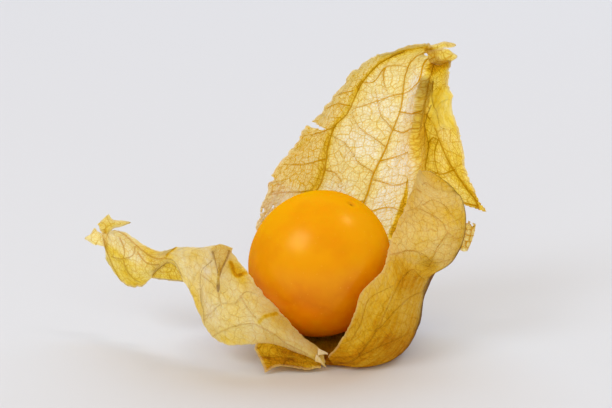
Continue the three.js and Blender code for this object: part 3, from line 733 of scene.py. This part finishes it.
def paper_look():
    """The dry paper of the husk: cream to deep gold, with golden ribs, side veins and two sizes of net
    veins, creases made a deeper gold as painted shade, thin dark lines and olive patches of painted shade,
    pale torn edges and a fine grain. The veins stand up from quilted cells."""
    tree = new_look("husk_paper_look")
    across, along, rib = attribute(tree, "across"), attribute(tree, "along"), attribute(tree, "rib")
    place = add_node(tree, "ShaderNodeCombineXYZ", {"X": across, "Y": along}).outputs[0]
    drift = noise(tree, place, 0.55, 2.0, output="Color")
    drift = vector_maths(tree, "SUBTRACT", {0: drift, 1: (0.5, 0.5, 0.5)})
    drift = vector_maths(tree, "SCALE", {0: drift, "Scale": 1.3})
    bent = vector_maths(tree, "ADD", {0: place, 1: drift})

    def net(scale, low, high):
        cells = add_node(tree, "ShaderNodeTexVoronoi", {"Vector": bent, "Scale": scale, "Randomness": 0.85},
                         feature="DISTANCE_TO_EDGE", voronoi_dimensions="2D")
        return steps(tree, cells.outputs["Distance"], low, high, 1.0, 0.0), cells.outputs["Distance"]

    coarse, coarse_distance = net(0.85, 0.014, 0.065)
    fine, _ = net(2.3, 0.03, 0.17)
    rib_mask = steps(tree, rib, -0.06, 0.05, 1.0, 0.0)
    side_mask = steps(tree, attribute(tree, "side_vein"), -0.03, 0.05, 1.0, 0.0)
    # Painted shade: thin dark lines along folds and turned-over edges.
    shade_line_mask = steps(tree, attribute(tree, "shade_line"), -0.04, 0.06, 0.85, 0.0)
    # Painted shade: creases are made a deeper gold.
    crease_shade_mask = steps(tree, attribute(tree, "crease"), 0.0, 0.35, 1.0, 0.0)
    patches = noise(tree, place, 0.22)
    mottle = noise(tree, place, 1.6, 4.0, 0.6)
    grain = noise(tree, place, 14.0, 2.0)
    slow_along = maths(tree, "MULTIPLY", along, 0.15)
    lengthwise = add_node(tree, "ShaderNodeCombineXYZ", {"X": across, "Y": slow_along}).outputs[0]
    streak = steps(tree, noise(tree, lengthwise, 1.4, 5.0, 0.65), 0.36, 0.68, -0.7, 1.0)
    streak = maths(tree, "MULTIPLY", streak, attribute(tree, "streak"))
    tone = total(tree, attribute(tree, "gold"), steps(tree, patches, 0.3, 0.75, -0.08, 0.12),
                 steps(tree, mottle, 0.3, 0.75, -0.05, 0.06), steps(tree, rib, 0.0, 0.9, 0.06, 0.0),
                 (crease_shade_mask, 0.3), (streak, 0.12))
    colour = ramp(tree, tone, PAPER_RAMP)
    net_colour, vein_colour = ramp(tree, tone, NET_RAMP), ramp(tree, tone, VEIN_RAMP)
    net_share = attribute(tree, "net")
    for mask, strength, its_colour in ((fine, 0.66, net_colour), (coarse, 0.82, net_colour),
                                       (side_mask, 1.0, vein_colour), (rib_mask, 1.0, vein_colour)):
        share = maths(tree, "MULTIPLY", maths(tree, "MULTIPLY", mask, strength), net_share)
        colour = mixed(tree, share, colour, its_colour)
    # Painted shade: a dull brown multiplied in along those thin lines at folds and edges.
    colour = mixed(tree, shade_line_mask, colour, linear(176, 148, 96), "MULTIPLY")
    # Painted shade: olive multiplied in wherever the shade attribute is set.
    colour = mixed(tree, attribute(tree, "shade"), colour, linear(188, 170, 122), "MULTIPLY")
    torn = steps(tree, attribute(tree, "edge"), 0.05, 0.4, 0.5, 0.0)
    colour = mixed(tree, torn, colour, linear(248, 232, 180))
    grainy = steps(tree, grain, 0.35, 0.7, 0.0, 0.12)
    colour = mixed(tree, grainy, colour, linear(250, 236, 190), "SOFT_LIGHT")
    height = total(tree, (coarse, 0.35), (fine, 0.14), (side_mask, 0.5), (rib_mask, 0.6),
                   steps(tree, coarse_distance, 0.0, 0.4, 0.0, 0.25), (grain, 0.12), (mottle, 0.5),
                   (streak, 0.25))
    return finished_look(tree, colour, steps(tree, mottle, 0.3, 0.7, 0.46, 0.62), height)


def berry_look():
    """Ripe berry skin: deep orange, faintly mottled, with pale pin-head pores and a small brown scar at the
    end where the flower was. Its orange changes with height as painted light: yellow at the top, lit from
    above, darker round the middle, and brighter at the bottom, lit by light bounced up from below. Its
    mottling is raised and its pores are sunk."""
    tree = new_look("berry_skin_look")
    place = add_node(tree, "ShaderNodeTexCoord").outputs["Object"]
    scar = attribute(tree, "from_scar")
    patches = noise(tree, place, 160.0)
    mottle = noise(tree, place, 900.0)
    level = add_node(tree, "ShaderNodeSeparateXYZ", {0: place}).outputs["Z"]
    # Painted light by height, with random patches added.
    tone_and_painted_light = total(tree, steps(tree, patches, 0.35, 0.65, -0.1, 0.1), steps(tree, level, -0.002, 0.018))
    colour = ramp(tree, tone_and_painted_light, BERRY_RAMP)
    colour = mixed(tree, steps(tree, mottle, 0.4, 0.75, 0.0, 0.25), colour, linear(238, 158, 2))
    pores = add_node(tree, "ShaderNodeTexVoronoi", {"Vector": place, "Scale": 1150.0}, feature="F1")
    pore = steps(tree, pores.outputs["Distance"], 0.05, 0.16, 0.22, 0.0)
    colour = mixed(tree, pore, colour, linear(252, 190, 80))
    colour = mixed(tree, steps(tree, scar, 0.3, 0.7, 0.3, 0.0), colour, linear(190, 110, 10))
    colour = mixed(tree, steps(tree, scar, 0.08, 0.26, 0.65, 0.0), colour, linear(140, 80, 12))
    height = total(tree, (mottle, 0.5), (pore, -0.4))
    return finished_look(tree, colour, steps(tree, mottle, 0.3, 0.7, 0.33, 0.42), height)


def new_material(name):
    material = bpy.data.materials.new(name)
    material.use_nodes = True
    material.node_tree.nodes.clear()
    return material, material.node_tree


def bumped(tree, height, strength, distance):
    """The normal of a surface that a height moves by up to a distance, in metres."""
    inputs = {"Height": height, "Strength": strength, "Distance": distance}
    return add_node(tree, "ShaderNodeBump", inputs).outputs["Normal"]


def surface(tree, shader, other=None, share=0.0):
    """The material's surface: one shader, or a share of another one mixed into it."""
    result = shader.outputs[0]
    if other is not None:
        inputs = {0: share, 1: result, 2: other.outputs[0]}
        result = add_node(tree, "ShaderNodeMixShader", inputs).outputs[0]
    add_node(tree, "ShaderNodeOutputMaterial", {"Surface": result})


def paper_material():
    """Thin dry paper: the paper look on a rough skin, which also lets some of the light behind it through,
    and has a dark brown shade painted in where it is seen edge on."""
    material, tree = new_material("husk_paper")
    look = add_node(tree, "ShaderNodeGroup", node_tree=paper_look())
    normal = bumped(tree, look.outputs["Height"], 0.8, 0.00016)
    facing = add_node(tree, "ShaderNodeLayerWeight", {"Blend": 0.5}).outputs["Facing"]
    # Painted shade: a dark brown mixed in where the paper is seen edge on, scaled by the rim attribute.
    rim = maths(tree, "MULTIPLY", steps(tree, facing, 0.58, 0.92), attribute(tree, "rim"))
    colour = mixed(tree, rim, look.outputs["Colour"], linear(96, 66, 14))
    skin = add_node(tree, "ShaderNodeBsdfPrincipled", {
        "Base Color": colour, "Roughness": look.outputs["Roughness"], "Normal": normal,
        "Specular IOR Level": 0.18})
    clear = add_node(tree, "ShaderNodeGamma", {"Color": colour, "Gamma": 0.46}).outputs[0]
    through = add_node(tree, "ShaderNodeBsdfTranslucent", {"Color": clear, "Normal": normal})
    surface(tree, skin, through, LIGHT_THROUGH)
    return material


def berry_material():
    """The berry's look on a skin that light sinks a little way into, with a soft golden gloss."""
    material, tree = new_material("berry_skin")
    look = add_node(tree, "ShaderNodeGroup", node_tree=berry_look())
    normal = bumped(tree, look.outputs["Height"], 0.25, 0.00006)
    skin = add_node(tree, "ShaderNodeBsdfPrincipled", {
        "Base Color": look.outputs["Colour"], "Roughness": look.outputs["Roughness"], "Normal": normal,
        "Subsurface Weight": 0.5, "Subsurface Radius": (1.0, 0.22, 0.02), "Subsurface Scale": 0.0035,
        "Specular IOR Level": 0.0})
    gloss = add_node(tree, "ShaderNodeBsdfGlossy", {
        "Color": (1.0, 0.82, 0.3, 1.0), "Roughness": 0.27, "Normal": normal})
    surface(tree, skin, gloss, BERRY_GLOSS)
    return material


def stalk_material():
    """Dry stalk: brown fibres that run along it, paler on their crests."""
    material, tree = new_material("stalk_fibre")
    around, along = attribute(tree, "across"), attribute(tree, "along")
    place = add_node(tree, "ShaderNodeCombineXYZ", {
        "X": maths(tree, "COSINE", around), "Y": maths(tree, "SINE", around),
        "Z": maths(tree, "MULTIPLY", along, 0.12)}).outputs[0]
    fibres = noise(tree, place, 5.0, 4.0, 0.6)
    skin = add_node(tree, "ShaderNodeBsdfPrincipled", {
        "Base Color": ramp(tree, fibres, STALK_RAMP), "Roughness": 0.75,
        "Normal": bumped(tree, fibres, 0.8, 0.0002)})
    surface(tree, skin)
    return material


# The pieces. Their tones and the rest are functions of the column u and the row v along the control points.

def ridge_column(v):
    """The column along which the hood's paper turns over its ridge, at each row."""
    return 2.95 - 0.2 * rise(4.2, 5.2, v) + 0.25 * rise(6.7, 7.5, v)


def hood_tone(u, v):
    """Golden right of the ridge, partly painted shade in the recess there, at the tip, near the base and
    along the left rib, cream on the panels between, palest just left of the ridge and on the fringe, with a
    deep gold wedge of painted shade low beside the lobe."""
    flap = 0.11 * rise(1.1, 0.7, u)
    fringe = -0.13 * rise(4.0, 3.0, v) * rise(0.9, 0.5, u)
    turn = ridge_column(v)
    pale = 0.06 * rise(4.0, 4.3, u) * rise(6.7, 7.0, v) * rise(8.0, 7.7, v)
    # Partly painted shade: gold right of the ridge, where the recess turns away behind it.
    right = 0.29 * rise(turn, turn + 0.25, u) - pale
    panel = -0.08 * rise(1.9, 2.3, u) * rise(3.05, 2.8, u)
    # Painted shade: a deep gold wedge in the shadowed gap low beside the lobe.
    wedge_shade_half = 0.02 + 0.07 * rise(4.0, 2.9, v)
    wedge_shade = 0.58 * rise(1.3, 0.8, np.abs(u - 2.84) / wedge_shade_half)
    wedge_shade = wedge_shade * rise(2.0, 2.3, v) * rise(4.05, 3.85, v)
    low = 0.35 * rise(2.2, 0.8, v)
    top = 0.24 * rise(6.9, 8.0, v)
    left_rib = np.array(HOOD_LINES["rib"][0])
    beside = u - np.interp(v, left_rib[:, 1], left_rib[:, 0]) + 0.05
    band = 0.26 * np.exp(-((beside / 0.13) ** 2)) * rise(2.5, 3.2, v)
    return 0.14 + band + fringe + flap + right + 0.04 * fold_high(u, v) + panel + wedge_shade + low + top


def fold_high(u, v):
    """1 on the smooth fold high on the hood's right, and 0 off it."""
    return rise(4.0, 4.15, u + 0.25 * (v - 5.9)) * rise(5.35, 5.5, v) * rise(6.75, 6.6, v)


def hood_net(u, v):
    """Strong on the flaps, weaker on the fringe, and faint on the smooth fold."""
    flaps = 0.35 * rise(1.0, 0.8, u) * rise(3.2, 4.0, v) + 0.1 * rise(3.6, 4.0, u)
    fringe = 0.45 * rise(0.9, 0.5, u) * rise(3.9, 3.3, v)
    return np.maximum(1 + flaps - fringe - 1.2 * fold_high(u, v), 0.1)


def hood_shade(u, v):
    """Olive on the narrow side of the ridge that is turned away from the light, most of all at its top."""
    right_end = 3.75 + 0.7 * np.minimum(v - 6.3, 0)
    side = rise(0.0, 0.2, u - ridge_column(v)) * rise(right_end + 0.25, right_end, u)
    return side * rise(5.0, 5.8, v) * rise(7.35, 6.9, v) * (0.4 + 0.5 * rise(6.2, 6.7, v))


def hood_cut(u, v):
    """Where the hood's paper is missing: a notch in its left edge, a small hole by the tip, a bite out of
    its right edge, and what is cut away under and round the spike above that bite."""
    notch = (u < 0.6) & (v > 5.22 - 0.1 * u) & (v < 5.34 - 0.2 * u)
    hole = ((u - 2.25) / 0.22) ** 2 + ((v - 8.46) / 0.1) ** 2 < 1
    bite = (v > 1.4) & (v < 2.97) & (u > 4.4 + 0.6 * ((2.97 - v) / 1.57) ** 2)
    under_spike = (v < 3.0 + 0.5 * (5 - u)) & (v > 2.9) & (u > 4.4)
    round_spike = u > 5 - 0.12 * np.exp(-(((v - 3.35) / 0.25) ** 2))
    return notch | hole | bite | under_spike | round_spike


def hood_lace(u, v):
    """The hood's fringe low on its left edge."""
    return 0.2 * rise(0.45, 0.1, u) * rise(2.2, 2.6, v) * rise(4.0, 3.6, v)


def lobe_tone(u, v):
    """Tan above the bend, and deep gold below it, darkest at the bottom and at the painted shade where it is
    bent.
    """
    below = 0.16 * rise(5.0, 4.4, v) + 0.16 * rise(3.5, 0.8, v)
    return 0.31 + below + 0.05 * rise(1.5, 3.0, u) + 0.3 * lobe_shade(u, v)


def lobe_shade(u, v):
    """Painted shade: a dark patch where the lobe is bent."""
    return 0.5 * np.exp(-(((u - 1.9) / 0.5) ** 2) - ((v - 4.95 + 0.2 * (u - 2)) / 0.2) ** 2)


def arm_tone(u, v):
    """Cream, golden at its root and along its lower edge, with deeper gold painted as shade at the neck's
    notch and in the curl below the folded corner, and one cell beside the corner palest."""
    # Painted shade: deeper gold at the neck's notch and in the curl.
    notch = 0.35 * np.exp(-(((u - 0.3) / 0.35) ** 2) - ((v - 6.15) / 0.12) ** 2)
    curl = 0.28 * np.exp(-(((u - 0.4) / 0.35) ** 2) - ((v - 3.1) / 0.45) ** 2)
    cell = -0.14 * np.exp(-(((u - 1.35) / 0.3) ** 2) - ((v - 4.5) / 0.25) ** 2)
    wing = 0.16 * rise(6.3, 7.3, v) - 0.24 * rise(7.0, 8.0, v) * rise(1.8, 1.1, u)
    root = 0.15 * rise(1.0, 0.2, v)
    lower = 0.08 * rise(2.2, 3.0, u) * rise(6.6, 6.0, v)
    return 0.24 + notch + curl + cell + wing + root + lower


paper = paper_material()
make_berry(berry_material())
make_stalk(stalk_material())
make_base(paper)
make_lobe("husk_hood", HOOD_ROWS, (176, 270), paper, HOOD_LINES, torn=(0.9, 0.5, 0, 0.4), strength=0.34,
          seed=1, gold=hood_tone, net=hood_net, shade=hood_shade, rim=0.15, cut=hood_cut, lace=hood_lace)
# Painted shade on the right lobe: the dark patch at its bend, and a dark line where its right side is seen
# edge on.
make_lobe("husk_right_lobe", RIGHT_LOBE_ROWS, (150, 230), paper, LOBE_LINES, torn=(0.35, 0.3, 0, 0.4),
          strength=0.13, seed=2, gold=lobe_tone, net=lambda u, v: 0.42 + 0.12 * rise(4.6, 5.2, v),
          shade=lobe_shade, streak=lambda u, v: 0.3 + 0.55 * rise(4.9, 4.0, v),
          rim=lambda u, v: 0.1 + 0.9 * rise(2.4, 3.0, u), fine=0.85)
make_lobe("husk_left_arm", LEFT_ARM_ROWS, (110, 300), paper, ARM_LINES, torn=(0.35, 0.35, 0.3, 0.3),
          strength=0.24, seed=3, gold=arm_tone, net=lambda u, v: 0.4 + 0.3 * rise(6.0, 7.0, v),
          shade=lambda u, v: 0.2 * rise(6.3, 7.3, v) * rise(1.5, 2.2, u), fine=0.65)
# Its deep gold is partly painted shade: the underfold is seen in shadow.
make_lobe("husk_underfold", UNDERFOLD_ROWS, (110, 90), paper, torn=(0, 0.5, 0.4, 0), strength=0.2, seed=4,
          gold=0.67, net=0.8, streak=1.3)
for number, (name, (tone, net, shade, rows)) in enumerate(SCRAPS.items()):
    holes = (lambda u, v: 0.18 * rise(1.4, 1.9, v)) if name == "right_lace" else None
    make_lobe(name, rows, (36, 60), paper, SCRAP_LINES.get(name), torn=(0.15, 0.15, 0, 0), strength=0.08,
              seed=5 + number, gold=tone, net=net, shade=shade, widths=SCRAP_WIDTHS, lace=holes)


# The stage, the light and the camera

FLOOR_REACH = 3.0
# Square soft lights: the direction, distance, size, power and colour of each, and whether gloss mirrors it
LIGHTS = {
    "back": ((0.25, 0.85, 0.40), 1.6, 2.3, 55.5, (0.50, 0.75, 1.0), False),
    "key_left": ((-0.58, -0.47, 0.66), 0.7, 0.32, 1.5, (0.76, 0.88, 1.0), True),
    "front": ((0.05, -0.90, 0.32), 0.9, 0.90, 3.4, (0.80, 0.98, 0.90), False),
    "top_right": ((0.53, 0.10, 0.84), 0.7, 0.10, 0.35, (1, 1, 1), True),
}
LIGHT_AIM = Vector((0, 0, 0.012))
WORLD_COLOUR = (1.0, 0.67, 0.37, 1)
WORLD_STRENGTH = 0.62
CAMERA_ELEVATION = math.radians(16)
CAMERA_DISTANCE = 0.330
CAMERA_SETTINGS = {"lens": 156.4, "sensor_width": 36, "clip_start": 0.01}
CAMERA_AIM = Vector((-1.74, 2.04, 17.70)) * MM


def make_floor():
    """A plain pale floor, much wider than the view."""
    mesh = bpy.data.meshes.new("floor")
    corners = [(x * FLOOR_REACH, y * FLOOR_REACH, 0) for x, y in ((-1, -1), (1, -1), (1, 1), (-1, 1))]
    mesh.from_pydata(corners, [], [(0, 1, 2, 3)])
    material, tree = new_material("floor_paper")
    surface(tree, add_node(tree, "ShaderNodeBsdfPrincipled", {
        "Base Color": linear(212, 213, 218), "Roughness": 0.9, "Specular IOR Level": 0.1}))
    mesh.materials.append(material)
    floor = bpy.data.objects.new("floor", mesh)
    bpy.context.scene.collection.objects.link(floor)


def add_light(name, direction, distance, size, power, colour, mirrored):
    """A square soft light that looks at the berry, and is mirrored in its gloss or only lights it."""
    light = bpy.data.lights.new(name, "AREA")
    light.shape = "SQUARE"
    light.size = size
    light.energy = power
    light.color = colour
    lamp = bpy.data.objects.new(name, light)
    lamp.location = Vector(direction).normalized() * distance + LIGHT_AIM
    lamp.rotation_euler = Vector(direction).to_track_quat("Z", "Y").to_euler()
    lamp.visible_glossy = mirrored
    bpy.context.scene.collection.objects.link(lamp)


make_floor()
for name, settings in LIGHTS.items():
    add_light(name, *settings)

world = bpy.data.worlds.new("studio")
world.use_nodes = True
background = world.node_tree.nodes["Background"]
background.inputs["Color"].default_value = WORLD_COLOUR
background.inputs["Strength"].default_value = WORLD_STRENGTH
bpy.context.scene.world = world

camera_data = bpy.data.cameras.new("camera")
for key, value in CAMERA_SETTINGS.items():
    setattr(camera_data, key, value)
camera = bpy.data.objects.new("camera", camera_data)
toward = Vector((0, -math.cos(CAMERA_ELEVATION), math.sin(CAMERA_ELEVATION)))
camera.location = CAMERA_AIM + toward * CAMERA_DISTANCE
camera.rotation_euler = toward.to_track_quat("Z", "Y").to_euler()
bpy.context.scene.collection.objects.link(camera)
bpy.context.scene.camera = camera
bpy.context.scene.view_settings.view_transform = "Standard"
